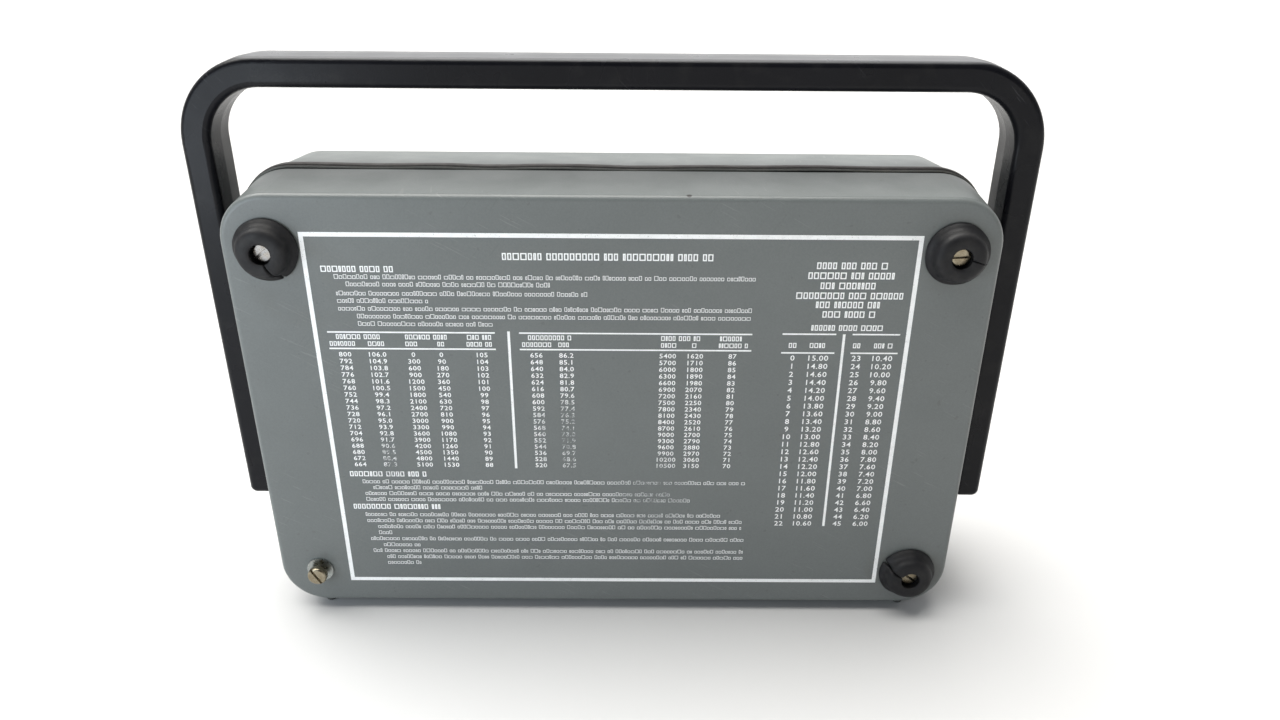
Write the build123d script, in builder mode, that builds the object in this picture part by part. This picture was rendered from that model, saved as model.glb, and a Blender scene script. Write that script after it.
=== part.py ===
"""Portable dissolved-oxygen meter: two-part case with a swinging carry handle.

Frame: millimetres, +Z up, the instrument standing on its bottom feet.  The
control panel faces -Y and the instruction side faces +Y.  The origin lies on
the bench, midway between the two sides, the rear foot tips and the knob tips.
Depths ("d") are measured forwards from the flat rear face of the case.
"""
import os

from build123d import *

os.makedirs("parts", exist_ok=True)

# ---------------------------------------------------------------- case
CASE_W = 351.2          # width at the seam, the widest place
CASE_H = 224.5          # height at the seam
CASE_R = 24.5           # corner radius at the seam
DRAFT = 4.2             # moulding draft of both shells, degrees
WALL = 3.0
EDGE_R = 2.6            # rounding of the rear and front rims
REAR_D = 35.0           # rear face to the rear shell's rim
SEAM_T = 9.5            # width of the rubber seam gasket
FRONT_D = 88.5          # rear face to the front rim
SEAM_F = REAR_D + SEAM_T
GASKET_PROUD = 1.5
GASKET_IN = 3.5

# ---------------------------------------------------------------- feet and stance
CASE_GAP = 3.1          # bench to the underside of the seam
CASE_ZC = CASE_GAP + CASE_H / 2
REAR_FOOT_H = 8.8
REAR_FOOT_R = 14.5
REAR_FOOT_TOP_R = 12.0
FOOT_X = 152.8
FOOT_DZ = 87.1          # half the vertical spacing of the rear screws
FOOT_ZC = CASE_ZC - 2.3
PAD_Z = CASE_GAP + 1.5  # height of the flat pads that the bottom feet sit on
BOTTOM_FOOT_R = 2.8
BOTTOM_FOOT_D = (8.5, 78.0)

# ---------------------------------------------------------------- control panel
PANEL_T = 2.0
POCKET_D = 84.5         # depth of the pocket floor that the panel lies on
LEDGE_D = 80.5          # inner face of the ledge
POCKET_W, POCKET_H, POCKET_R = 322.0, 196.0, 12.0
PANEL_W, PANEL_H, PANEL_R = 321.0, 195.0, 11.5
OPEN_W, OPEN_H, OPEN_R = 306.0, 180.0, 8.0
PANEL_FACE = POCKET_D + PANEL_T
KNOB_GAP = 0.8
KNOB_H = 18.0

# The bounding box runs from the rear foot tips to the knob tips.
REAR_Y = (PANEL_FACE + KNOB_GAP + KNOB_H - REAR_FOOT_H) / 2

# ---------------------------------------------------------------- handle
HANDLE_MID = 42.5       # depth of the handle's middle plane
HANDLE_D = 25.0         # bar size, front to back
HANDLE_T = 14.1         # bar thickness on the middle plane
HANDLE_X = 196.6        # half the outer width
HANDLE_TOP = CASE_GAP + 275.1
HANDLE_END = CASE_GAP + 49.0
HANDLE_DRAFT = 2.2
HANDLE_R_OUT = 39.0
HANDLE_R_IN = HANDLE_R_OUT - HANDLE_T
HANDLE_EDGE = 3.0
HANDLE_END_R = 4.0      # rounding of each arm's lower corners
ARM_IN = HANDLE_X - HANDLE_T
SPOTFACE = 0.5
PIVOT_Z = HANDLE_END + HANDLE_D / 2
PIVOT_Y = REAR_Y - HANDLE_MID
HUB_R = 10.9
HUB_HOLE_R = 11.0
SPOTFACE_R = 11.6
FRICTION_T = 1.9        # friction washer between hub and arm
HUB_FACE = ARM_IN + SPOTFACE - FRICTION_T - 0.1
HUB_INSIDE = 169.4      # the hub's flange starts here, inside the shell wall
HUB_FLANGE_R, HUB_FLANGE_T = 15.0, 2.0
HUB_COLLAR_R, HUB_COLLAR_T = 12.5, 3.0
HUB_BORE_R = 3.1
BOLT_R = 4.0
BOLT_HEAD_R, BOLT_HEAD_T = 7.8, 4.4
BOLT_STEM_R, BOLT_STEM_L = 3.0, 19.0
HEX_KEY_R, HEX_KEY_DEPTH = 2.9, 3.2
BUSH_R = 6.0
RUN_GAP = 0.05          # radial running clearance of every shaft
HEAD_POCKET = 6.0
HEAD_POCKET_R = 8.6
SPRING_R, SPRING_T = 7.4, 0.8
PIVOT_NUT_AF, PIVOT_NUT_T = 10.0, 5.0

# ---------------------------------------------------------------- rear screws
SCREW_R = 2.4
HEAD_R = 4.9
HEAD_T = 3.0
FOOT_SEAT = 1.8         # under a head that clamps a foot, off the rear face
BARE_SEAT = 4.3         # the screw without its foot isn't driven home
SCREW_END = 54.0        # depth of a clamping screw's end
BOSS_R = 6.5
BOSS_MEET = 39.6
WASHER_R, WASHER_T = 6.75, 1.0
HEAD_SLOT = 1.3         # width and depth of the driver slot
SLOT_ANGLES = (38, -60, 3, -35)
FOOT_SPLITS = (-60, 0, -8, 150)
SPLIT_W = 0.8
INSERT_R, INSERT_L = 3.5, 12.0

# ---------------------------------------------------------------- inside
CHASSIS_D = 58.5        # rear face of the chassis plate
CHASSIS_T = 1.5
CHASSIS_W, CHASSIS_H = 330.0, 148.0
CELL_R, CELL_L, CELL_BODY = 17.1, 61.5, 60.0
CELLS = 4
HOLDER_DZ = 53.0
HOLDER_W, HOLDER_H, HOLDER_DEPTH = 262.0, 39.0, 27.0
HOLDER_WALL = 2.0
BOARD_W, BOARD_H, BOARD_T = 276.0, 60.0, 1.6
BOARD_STANDOFF = 6.0
BOARD_D = CHASSIS_D - BOARD_STANDOFF     # board's front side rests on the standoffs
BOARD_BACK = BOARD_D - BOARD_T
POST_R = 4.5
M3_HOLE_R = 1.6


def rear_plane(depth):
    """Plane at a depth, facing backwards, with its own y axis pointing up."""
    return Plane(origin=(0, REAR_Y - depth, 0), x_dir=(-1, 0, 0), z_dir=(0, 1, 0))


def front_plane(depth):
    """Plane at a depth, facing forwards, with its own y axis pointing up."""
    return Plane(origin=(0, REAR_Y - depth, 0), x_dir=(1, 0, 0), z_dir=(0, -1, 0))


def side_plane(x):
    """Plane across the width: its own x axis is +Y and its own y axis is +Z."""
    return Plane.YZ.offset(x)


def save(builder, label):
    """Name a finished piece and write its STEP file."""
    builder.part.label = label
    export_step(builder.part, f"parts/{label}.step")


FOOT_SPOTS = [(x, FOOT_ZC + dz) for x in (-FOOT_X, FOOT_X) for dz in (FOOT_DZ, -FOOT_DZ)]
BARE_SPOT = (-FOOT_X, FOOT_ZC - FOOT_DZ)     # seen from behind: lower left, foot missing
BOTTOM_SPOTS = [(x, REAR_Y - d) for x in (-FOOT_X, FOOT_X) for d in BOTTOM_FOOT_D]
POST_SPOTS = [(x, CASE_ZC + dz) for x in (-160.5, 160.5) for dz in (-50.0, 50.0)]

# ================================================================ case shells
with BuildPart() as rear_shell:
    with BuildSketch(rear_plane(REAR_D)):
        with Locations((0, CASE_ZC)):
            RectangleRounded(CASE_W, CASE_H, CASE_R)
    extrude(amount=REAR_D, taper=DRAFT)
    fillet(rear_shell.faces().sort_by(Axis.Y)[-1].edges(), EDGE_R)
    with BuildSketch(rear_plane(REAR_D)):
        with Locations((0, CASE_ZC)):
            RectangleRounded(CASE_W - 2 * WALL, CASE_H - 2 * WALL, CASE_R - WALL)
    extrude(amount=REAR_D - WALL, taper=DRAFT, mode=Mode.SUBTRACT)
    with BuildSketch(rear_plane(BOSS_MEET)):
        with Locations(*FOOT_SPOTS):
            Circle(BOSS_R)
    extrude(amount=BOSS_MEET - WALL / 2)
    with BuildSketch(Plane.XY.offset(PAD_Z)):
        with Locations(*[spot for spot in BOTTOM_SPOTS if spot[1] > PIVOT_Y]):
            Circle(BOTTOM_FOOT_R + 0.5)
    extrude(amount=WALL)
    with BuildSketch(rear_plane(REAR_D + SEAM_T)):
        with Locations(*FOOT_SPOTS):
            Circle(SCREW_R + 0.3)
    extrude(amount=REAR_D + SEAM_T, mode=Mode.SUBTRACT)
    with BuildSketch(side_plane(0)):
        with Locations((PIVOT_Y, PIVOT_Z)):
            Circle(HUB_HOLE_R)
    extrude(amount=CASE_W, both=True, mode=Mode.SUBTRACT)
save(rear_shell, "rear_shell")

with BuildPart() as front_shell:
    with BuildSketch(front_plane(SEAM_F)):
        with Locations((0, CASE_ZC)):
            RectangleRounded(CASE_W, CASE_H, CASE_R)
    extrude(amount=FRONT_D - SEAM_F, taper=DRAFT)
    fillet(front_shell.faces().sort_by(Axis.Y)[0].edges(), EDGE_R)
    with BuildSketch(front_plane(SEAM_F)):
        with Locations((0, CASE_ZC)):
            RectangleRounded(CASE_W - 2 * WALL, CASE_H - 2 * WALL, CASE_R - WALL)
    extrude(amount=LEDGE_D - SEAM_F, taper=DRAFT, mode=Mode.SUBTRACT)
    # screw bosses behind the four corners, and posts for the chassis plate
    with BuildSketch(front_plane(BOSS_MEET)):
        with Locations(*FOOT_SPOTS):
            Circle(BOSS_R)
    extrude(amount=LEDGE_D + 1 - BOSS_MEET)
    with BuildSketch(front_plane(CHASSIS_D + CHASSIS_T)):
        with Locations(*POST_SPOTS):
            Circle(POST_R)
    extrude(amount=LEDGE_D + 1 - CHASSIS_D - CHASSIS_T)
    with BuildSketch(Plane.XY.offset(PAD_Z)):
        with Locations(*[spot for spot in BOTTOM_SPOTS if spot[1] < PIVOT_Y]):
            Circle(BOTTOM_FOOT_R + 0.5)
    extrude(amount=WALL)
    # pocket for the panel, and the opening behind it
    with BuildSketch(front_plane(POCKET_D)):
        with Locations((0, CASE_ZC)):
            RectangleRounded(POCKET_W, POCKET_H, POCKET_R)
    extrude(amount=FRONT_D, mode=Mode.SUBTRACT)
    with BuildSketch(front_plane(LEDGE_D - 0.5)):
        with Locations((0, CASE_ZC)):
            RectangleRounded(OPEN_W, OPEN_H, OPEN_R)
    extrude(amount=FRONT_D, mode=Mode.SUBTRACT)
    # pilot holes: inserts in the bosses, chassis screws in the posts
    with BuildSketch(front_plane(0)):
        with Locations(*FOOT_SPOTS):
            Circle(INSERT_R)
    extrude(amount=SCREW_END + 1, mode=Mode.SUBTRACT)
    with BuildSketch(front_plane(CHASSIS_D)):
        with Locations(*POST_SPOTS):
            Circle(1.5)
    extrude(amount=12, mode=Mode.SUBTRACT)
    with BuildSketch(side_plane(0)):
        with Locations((PIVOT_Y, PIVOT_Z)):
            Circle(HUB_HOLE_R)
    extrude(amount=CASE_W, both=True, mode=Mode.SUBTRACT)
save(front_shell, "front_shell")

with BuildPart() as seam_gasket:
    with BuildSketch(rear_plane(SEAM_F)):
        with Locations((0, CASE_ZC)):
            RectangleRounded(CASE_W + 2 * GASKET_PROUD, CASE_H + 2 * GASKET_PROUD,
                             CASE_R + GASKET_PROUD)
            RectangleRounded(CASE_W - 2 * GASKET_IN, CASE_H - 2 * GASKET_IN,
                             CASE_R - GASKET_IN, mode=Mode.SUBTRACT)
    extrude(amount=SEAM_T)
    rim_faces = seam_gasket.faces().filter_by(Axis.Y)
    outer_edges = [face.outer_wire().edges() for face in rim_faces]
    fillet([edge for group in outer_edges for edge in group], 1.3)
    with BuildSketch(side_plane(0)):
        with Locations((PIVOT_Y, PIVOT_Z)):
            Circle(HUB_HOLE_R)
    extrude(amount=CASE_W, both=True, mode=Mode.SUBTRACT)
save(seam_gasket, "seam_gasket")

# ================================================================ rear feet and screws
with BuildPart() as rear_feet:
    for spot in [spot for spot in FOOT_SPOTS if spot != BARE_SPOT]:
        with BuildSketch(rear_plane(0)):
            with Locations(spot):
                Circle(REAR_FOOT_R)
        with BuildSketch(rear_plane(-REAR_FOOT_H)):
            with Locations(spot):
                Circle(REAR_FOOT_TOP_R)
        loft()
    tops = rear_feet.faces().filter_by(Axis.Y).group_by(Axis.Y)[-1]
    fillet(tops.edges(), 1.8)
    with BuildSketch(rear_plane(-FOOT_SEAT)):
        with Locations(*FOOT_SPOTS):
            Circle(HEAD_R + 0.4)
    extrude(amount=REAR_FOOT_H, mode=Mode.SUBTRACT)
    with BuildSketch(rear_plane(0)):
        with Locations(*FOOT_SPOTS):
            Circle(SCREW_R + 0.2)
    extrude(amount=REAR_FOOT_H, mode=Mode.SUBTRACT)
    with BuildSketch(rear_plane(0)):
        with Locations(*FOOT_SPOTS):
            Circle(WASHER_R + 0.25)
    extrude(amount=WASHER_T, mode=Mode.SUBTRACT)
    # one radial split through the wall of each foot
    with BuildSketch(rear_plane(0)):
        for spot, angle in zip(FOOT_SPOTS, FOOT_SPLITS):
            with Locations(Location((spot[0], spot[1], 0), angle)):
                Rectangle(REAR_FOOT_R + 1, SPLIT_W, align=(Align.MIN, Align.CENTER))
    extrude(amount=REAR_FOOT_H + 1, mode=Mode.SUBTRACT)
save(rear_feet, "rear_feet")

with BuildPart() as rear_washers:
    with BuildSketch(rear_plane(0)):
        with Locations(*FOOT_SPOTS):
            Circle(WASHER_R)
            Circle(SCREW_R + 0.25, mode=Mode.SUBTRACT)
    extrude(amount=WASHER_T)
save(rear_washers, "rear_washers")

with BuildPart() as rear_screws:
    for spot, angle in zip(FOOT_SPOTS, SLOT_ANGLES):
        seat = BARE_SEAT if spot == BARE_SPOT else FOOT_SEAT
        with BuildSketch(rear_plane(-seat)):
            with Locations(spot):
                Circle(HEAD_R)
        extrude(amount=HEAD_T)
        top = Vector(-spot[0], REAR_Y + seat + HEAD_T, spot[1])
        rims = rear_screws.edges().filter_by(GeomType.CIRCLE)
        fillet([rim for rim in rims if (rim.arc_center - top).length < 0.01], 1.2)
        with BuildSketch(rear_plane(-seat)):
            with Locations(spot):
                Circle(SCREW_R)
        extrude(amount=-FOOT_SEAT - SCREW_END)
        with BuildSketch(rear_plane(-seat - HEAD_T)):
            with Locations(Location((spot[0], spot[1], 0), angle)):
                Rectangle(2 * HEAD_R + 1, HEAD_SLOT)
        extrude(amount=-HEAD_SLOT, mode=Mode.SUBTRACT)
save(rear_screws, "rear_screws")

with BuildPart() as shell_inserts:
    with BuildSketch(front_plane(BOSS_MEET + 1)):
        with Locations(*FOOT_SPOTS):
            Circle(INSERT_R)
            Circle(SCREW_R + 0.03, mode=Mode.SUBTRACT)
    extrude(amount=INSERT_L)
save(shell_inserts, "shell_inserts")

with BuildPart() as bottom_feet:
    with BuildSketch(Plane.XY):
        with Locations(*BOTTOM_SPOTS):
            Circle(BOTTOM_FOOT_R)
    extrude(amount=PAD_Z)
    fillet(bottom_feet.faces().group_by(Axis.Z)[0].edges(), BOTTOM_FOOT_R / 2)
save(bottom_feet, "bottom_feet")

# ================================================================ handle and its pivots
with BuildPart() as handle:
    with BuildSketch(front_plane(HANDLE_MID)):
        with BuildLine():
            FilletPolyline((-HANDLE_X, HANDLE_END), (-HANDLE_X, HANDLE_TOP),
                           (HANDLE_X, HANDLE_TOP), (HANDLE_X, HANDLE_END), radius=HANDLE_R_OUT)
            FilletPolyline((-ARM_IN, HANDLE_END), (-ARM_IN, HANDLE_TOP - HANDLE_T),
                           (ARM_IN, HANDLE_TOP - HANDLE_T), (ARM_IN, HANDLE_END),
                           radius=HANDLE_R_IN)
            Line((-HANDLE_X, HANDLE_END), (-ARM_IN, HANDLE_END))
            Line((HANDLE_X, HANDLE_END), (ARM_IN, HANDLE_END))
        make_face()
        fillet(vertices().group_by(Axis.Y)[0], HANDLE_END_R)
    extrude(amount=HANDLE_D / 2, both=True, taper=HANDLE_DRAFT)
    fillet(handle.faces().filter_by(Axis.Y).edges(), HANDLE_EDGE)
    with BuildSketch(side_plane(0)):
        with Locations((PIVOT_Y, PIVOT_Z)):
            Circle(BUSH_R)
    extrude(amount=HANDLE_X + 5, both=True, mode=Mode.SUBTRACT)
    for side in (-1, 1):
        with BuildSketch(side_plane(side * (HANDLE_X - HEAD_POCKET))):
            with Locations((PIVOT_Y, PIVOT_Z)):
                Circle(HEAD_POCKET_R)
        extrude(amount=side * 2 * HEAD_POCKET, mode=Mode.SUBTRACT)
        with BuildSketch(side_plane(side * (ARM_IN + SPOTFACE))):
            with Locations((PIVOT_Y, PIVOT_Z)):
                Circle(SPOTFACE_R)
        extrude(amount=-side * 3, mode=Mode.SUBTRACT)
save(handle, "handle")

with BuildPart() as pivot_bushes:
    for side in (-1, 1):
        with BuildSketch(side_plane(side * (ARM_IN + SPOTFACE))):
            with Locations((PIVOT_Y, PIVOT_Z)):
                Circle(BUSH_R)
                Circle(BOLT_R + RUN_GAP, mode=Mode.SUBTRACT)
        extrude(amount=side * (HANDLE_T - SPOTFACE - HEAD_POCKET))
save(pivot_bushes, "pivot_bushes")

with BuildPart() as pivot_hubs:
    for side in (-1, 1):
        with BuildSketch(side_plane(side * HUB_INSIDE)):
            with Locations((PIVOT_Y, PIVOT_Z)):
                Circle(HUB_R)
        extrude(amount=side * (HUB_FACE - HUB_INSIDE))
        with BuildSketch(side_plane(side * HUB_INSIDE)):
            with Locations((PIVOT_Y, PIVOT_Z)):
                Circle(HUB_FLANGE_R)
        extrude(amount=side * HUB_FLANGE_T)
        with BuildSketch(side_plane(side * HUB_FACE)):
            with Locations((PIVOT_Y, PIVOT_Z)):
                Circle(HUB_COLLAR_R)
        extrude(amount=-side * HUB_COLLAR_T)
    with BuildSketch(side_plane(0)):
        with Locations((PIVOT_Y, PIVOT_Z)):
            Circle(HUB_BORE_R)
    extrude(amount=CASE_W, both=True, mode=Mode.SUBTRACT)
save(pivot_hubs, "pivot_hubs")

with BuildPart() as pivot_bolts:
    seat = HANDLE_X - HEAD_POCKET + SPRING_T + 0.2
    for side in (-1, 1):
        with BuildSketch(side_plane(side * seat)):
            with Locations((PIVOT_Y, PIVOT_Z)):
                Circle(BOLT_HEAD_R)
        extrude(amount=side * BOLT_HEAD_T)
        with BuildSketch(side_plane(side * seat)):
            with Locations((PIVOT_Y, PIVOT_Z)):
                Circle(BOLT_R)
        extrude(amount=-side * (seat - HUB_FACE))
        with BuildSketch(side_plane(side * HUB_FACE)):
            with Locations((PIVOT_Y, PIVOT_Z)):
                Circle(BOLT_STEM_R)
        extrude(amount=-side * BOLT_STEM_L)
        with BuildSketch(side_plane(side * (seat + BOLT_HEAD_T))):
            with Locations((PIVOT_Y, PIVOT_Z)):
                RegularPolygon(HEX_KEY_R, 6)
        extrude(amount=-side * HEX_KEY_DEPTH, mode=Mode.SUBTRACT)
    heads = pivot_bolts.edges().filter_by(GeomType.CIRCLE).filter_by(
        lambda edge: abs(edge.radius - BOLT_HEAD_R) < 0.01 and abs(edge.center().X) > seat + 1)
    fillet(heads, 1.0)
save(pivot_bolts, "pivot_bolts")

with BuildPart() as pivot_nuts:
    for side in (-1, 1):
        with BuildSketch(side_plane(side * (HUB_INSIDE - 0.1))):
            with Locations((PIVOT_Y, PIVOT_Z)):
                RegularPolygon(PIVOT_NUT_AF / 2, 6, major_radius=False)
                Circle(BOLT_STEM_R + 0.04, mode=Mode.SUBTRACT)
        extrude(amount=-side * PIVOT_NUT_T)
save(pivot_nuts, "pivot_nuts")

with BuildPart() as friction_washers:
    for side in (-1, 1):
        with BuildSketch(side_plane(side * HUB_FACE)):
            with Locations((PIVOT_Y, PIVOT_Z)):
                Circle(HUB_R + 0.1)
                Circle(BOLT_R + 0.2, mode=Mode.SUBTRACT)
        extrude(amount=side * FRICTION_T)
save(friction_washers, "friction_washers")

with BuildPart() as spring_washers:
    for side in (-1, 1):
        with BuildSketch(side_plane(side * (HANDLE_X - HEAD_POCKET + 0.1))):
            with Locations((PIVOT_Y, PIVOT_Z)):
                Circle(SPRING_R)
                Circle(BOLT_R + 0.2, mode=Mode.SUBTRACT)
        extrude(amount=side * SPRING_T)
save(spring_washers, "spring_washers")

# ================================================================ control panel
DISPLAY = (-66.0, CASE_ZC + 52.0)
LOWER_ROW = CASE_ZC - 38.0
CONTROLS = {                      # knob places as seen from the front: x, z
    "function": (88.0, CASE_ZC + 38.0),
    "zero": (-122.0, LOWER_ROW),
    "calib": (-66.0, LOWER_ROW),
    "salinity": (-8.0, LOWER_ROW),
}
KNOB_R = {"function": 21.0, "zero": 13.0, "calib": 13.0, "salinity": 16.0}
BODY_R = {"function": 15.0, "zero": 12.0, "calib": 12.0, "salinity": 12.0}
BODY_L = {"function": 20.0, "zero": 11.0, "calib": 11.0, "salinity": 11.0}
STIRRER = (48.0, LOWER_ROW)
SOCKETS = {"probe": (92.0, LOWER_ROW), "stirrer": (132.0, LOWER_ROW)}
SHAFT_R = 3.0
BUSHING_R = 4.7
BUSHING_H = 7.0
TOGGLE_R = 5.9
TOGGLE_H = 6.0
TOGGLE_BORE_R = 4.1
SOCKET_R = 9.5
SOCKET_H = 11.0         # the receptacles stand this far off the panel
SOCKET_FLOOR = 2.2      # contact face, above the front rim of the case
SOCKET_BACK = 8.0
PLUG_R = 7.0
INSULATOR_R = 6.0
PIN_R, PIN_CIRCLE_R, PINS = 0.8, 3.6, 5
PANEL_SCREW_R, PANEL_SCREW_T = 2.8, 1.6
BEZEL_RIM, BEZEL_T = 7.0, 2.4
WINDOW_T = 3.0
GLASS_T = 2.8
GLASS_BACK = 3.2        # back of the glass, behind the panel's seat
DISPLAY_BOARD_D = POCKET_D - 6.0
SPACER_R = 2.5
LUG_W, LUG_L, LUG_T = 1.8, 9.0, 0.8
FLUTE_R = 1.6
SKIRT_H, SKIRT_R = 2.5, 1.5
POINTER_W, POINTER_DEPTH = 1.6, 0.8
NUT_RECESS_R, NUT_RECESS_H = 8.4, 7.5
SHAFT_BACK, SHAFT_SHORT = 7.0, 3.0
NUT_T = 2.4
WINDOW_W, WINDOW_H = 112.0, 46.0
PANEL_SCREWS = [(x, CASE_ZC + z) for x in (-154.2, 154.2) for z in (-91.2, 91.2)]
PANEL_SCREWS += [(0, CASE_ZC - 93.6), (0, CASE_ZC + 93.6), (-156.6, CASE_ZC), (156.6, CASE_ZC)]
POINTER_ANGLE = {"function": 75, "zero": 0, "calib": 0, "salinity": 135}

with BuildPart() as front_panel:
    with BuildSketch(front_plane(POCKET_D)):
        with Locations((0, CASE_ZC)):
            RectangleRounded(PANEL_W, PANEL_H, PANEL_R)
        with Locations(DISPLAY):
            Rectangle(WINDOW_W + 1, WINDOW_H + 1, mode=Mode.SUBTRACT)
        with Locations(*CONTROLS.values()):
            Circle(BUSHING_R + 0.1, mode=Mode.SUBTRACT)
        with Locations(STIRRER):
            Circle(TOGGLE_R + 0.1, mode=Mode.SUBTRACT)
        with Locations(*SOCKETS.values()):
            Circle(SOCKET_R + 0.1, mode=Mode.SUBTRACT)
        with Locations(*PANEL_SCREWS):
            Circle(M3_HOLE_R, mode=Mode.SUBTRACT)
    extrude(amount=PANEL_T)
save(front_panel, "front_panel")

with BuildPart() as panel_screws:
    with BuildSketch(front_plane(PANEL_FACE)):
        with Locations(*PANEL_SCREWS):
            Circle(PANEL_SCREW_R)
    extrude(amount=PANEL_SCREW_T)
    fillet(panel_screws.faces().group_by(Axis.Y)[0].edges(), PANEL_SCREW_T / 2)
    with BuildSketch(front_plane(PANEL_FACE + PANEL_SCREW_T)):
        with Locations(*PANEL_SCREWS):
            Rectangle(2 * PANEL_SCREW_R + 0.4, PANEL_SCREW_T / 2)
    extrude(amount=-PANEL_SCREW_T / 2, mode=Mode.SUBTRACT)
    with BuildSketch(front_plane(PANEL_FACE)):
        with Locations(*PANEL_SCREWS):
            Circle(M3_HOLE_R - 0.1)
    extrude(amount=-PANEL_T)
save(panel_screws, "panel_screws")

with BuildPart() as display_bezel:
    with BuildSketch(front_plane(PANEL_FACE)):
        with Locations(DISPLAY):
            RectangleRounded(WINDOW_W + 2 * BEZEL_RIM, WINDOW_H + 2 * BEZEL_RIM, 4)
            Rectangle(WINDOW_W, WINDOW_H, mode=Mode.SUBTRACT)
    extrude(amount=BEZEL_T)
    fillet(display_bezel.faces().sort_by(Axis.Y)[0].outer_wire().edges(), 1.5)
save(display_bezel, "display_bezel")

with BuildPart() as display_window:
    with BuildSketch(front_plane(POCKET_D)):
        with Locations(DISPLAY):
            Rectangle(WINDOW_W, WINDOW_H)
    extrude(amount=WINDOW_T)
save(display_window, "display_window")

with BuildPart() as display_glass:
    with BuildSketch(front_plane(POCKET_D - GLASS_BACK)):
        with Locations(DISPLAY):
            Rectangle(WINDOW_W - 4, WINDOW_H - 2)
    extrude(amount=GLASS_T)
save(display_glass, "display_glass")

with BuildPart() as display_board:
    with BuildSketch(front_plane(DISPLAY_BOARD_D)):
        with Locations(DISPLAY):
            Rectangle(WINDOW_W + 12, WINDOW_H + 12)
            with GridLocations(WINDOW_W + 6, WINDOW_H + 6, 2, 2):
                Circle(M3_HOLE_R, mode=Mode.SUBTRACT)
    extrude(amount=BOARD_T)
save(display_board, "display_board")

with BuildPart() as display_spacers:
    with BuildSketch(front_plane(DISPLAY_BOARD_D + BOARD_T)):
        with Locations(DISPLAY):
            with GridLocations(WINDOW_W + 6, WINDOW_H + 6, 2, 2):
                Circle(SPACER_R)
                Circle(M3_HOLE_R, mode=Mode.SUBTRACT)
    extrude(amount=POCKET_D - DISPLAY_BOARD_D - BOARD_T)
save(display_spacers, "display_spacers")


def control_body(spot, radius, length):
    """Round switch or potentiometer body behind the panel, with its bushing and bore."""
    with BuildPart() as control:
        with BuildSketch(front_plane(POCKET_D)):
            with Locations(spot):
                Circle(radius)
        extrude(amount=-length)
        chamfer(control.edges().filter_by(GeomType.CIRCLE), 0.6)
        with BuildSketch(front_plane(POCKET_D - 1)):
            with Locations(spot):
                Circle(BUSHING_R)
        extrude(amount=PANEL_T + BUSHING_H + 1)
        with BuildSketch(front_plane(POCKET_D - length)):
            with Locations((spot[0], spot[1] - radius - 2)):
                with GridLocations(6, 1, 3, 1):
                    Rectangle(LUG_W, LUG_L)
        extrude(amount=LUG_T)
        with BuildSketch(front_plane(POCKET_D - SHAFT_BACK - 1)):
            with Locations(spot):
                Circle(SHAFT_R + RUN_GAP)
        extrude(amount=30, mode=Mode.SUBTRACT)
    return control


def knob(spot, radius, flutes, pointer):
    """Fluted knob with a pointer groove, bored for the shaft and recessed over the nut."""
    with BuildPart() as body:
        with BuildSketch(front_plane(PANEL_FACE + KNOB_GAP)):
            with Locations(spot):
                Circle(radius)
                with PolarLocations(radius + 0.5, flutes, start_angle=180 / flutes):
                    Circle(FLUTE_R, mode=Mode.SUBTRACT)
        extrude(amount=KNOB_H, taper=2)
        with BuildSketch(front_plane(PANEL_FACE + KNOB_GAP)):
            with Locations(spot):
                Circle(radius + SKIRT_R)
        extrude(amount=SKIRT_H)
        with BuildSketch(front_plane(PANEL_FACE + KNOB_GAP + KNOB_H)):
            with Locations(Location((spot[0], spot[1], 0), pointer)):
                with Locations((0, radius * 0.55)):
                    Rectangle(POINTER_W, radius)
        extrude(amount=-POINTER_DEPTH, mode=Mode.SUBTRACT)
        with BuildSketch(front_plane(PANEL_FACE)):
            with Locations(spot):
                Circle(NUT_RECESS_R)
        extrude(amount=KNOB_GAP + NUT_RECESS_H, mode=Mode.SUBTRACT)
        with BuildSketch(front_plane(PANEL_FACE)):
            with Locations(spot):
                Circle(SHAFT_R)
        extrude(amount=KNOB_GAP + KNOB_H - SHAFT_SHORT, mode=Mode.SUBTRACT)
    return body


for name, spot in CONTROLS.items():
    kind = "switch" if name == "function" else "pot"
    save(control_body(spot, BODY_R[name], BODY_L[name]), f"{name}_{kind}")
    flutes = 24 if name == "function" else 16
    save(knob(spot, KNOB_R[name], flutes, POINTER_ANGLE[name]), f"{name}_knob")
    with BuildPart() as shaft:
        with BuildSketch(front_plane(POCKET_D - SHAFT_BACK)):
            with Locations(spot):
                Circle(SHAFT_R)
        extrude(amount=SHAFT_BACK + PANEL_T + KNOB_GAP + KNOB_H - SHAFT_SHORT)
    save(shaft, f"{name}_shaft")

with BuildPart() as control_nuts:
    with BuildSketch(front_plane(PANEL_FACE)):
        with Locations(*CONTROLS.values()):
            RegularPolygon(6.35, 6, major_radius=False)
            Circle(BUSHING_R, mode=Mode.SUBTRACT)
        with Locations(STIRRER):
            RegularPolygon(7.9, 6, major_radius=False)
            Circle(TOGGLE_R, mode=Mode.SUBTRACT)
    extrude(amount=NUT_T)
save(control_nuts, "control_nuts")

# ---------------------------------------------------------------- stirrer toggle switch
TOGGLE_PIVOT = PANEL_FACE + TOGGLE_H - 3.5
TOGGLE_BALL = 3.6
TOGGLE_BODY = 20.0      # depth of the switch body
TERMINAL_L, TERMINAL_W, TERMINAL_T = 4.5, 5.0, 0.9
LEVER_L, LEVER_R, LEVER_TIP_R, LEVER_TAIL_R = 14.0, 1.9, 3.0, 1.5

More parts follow.
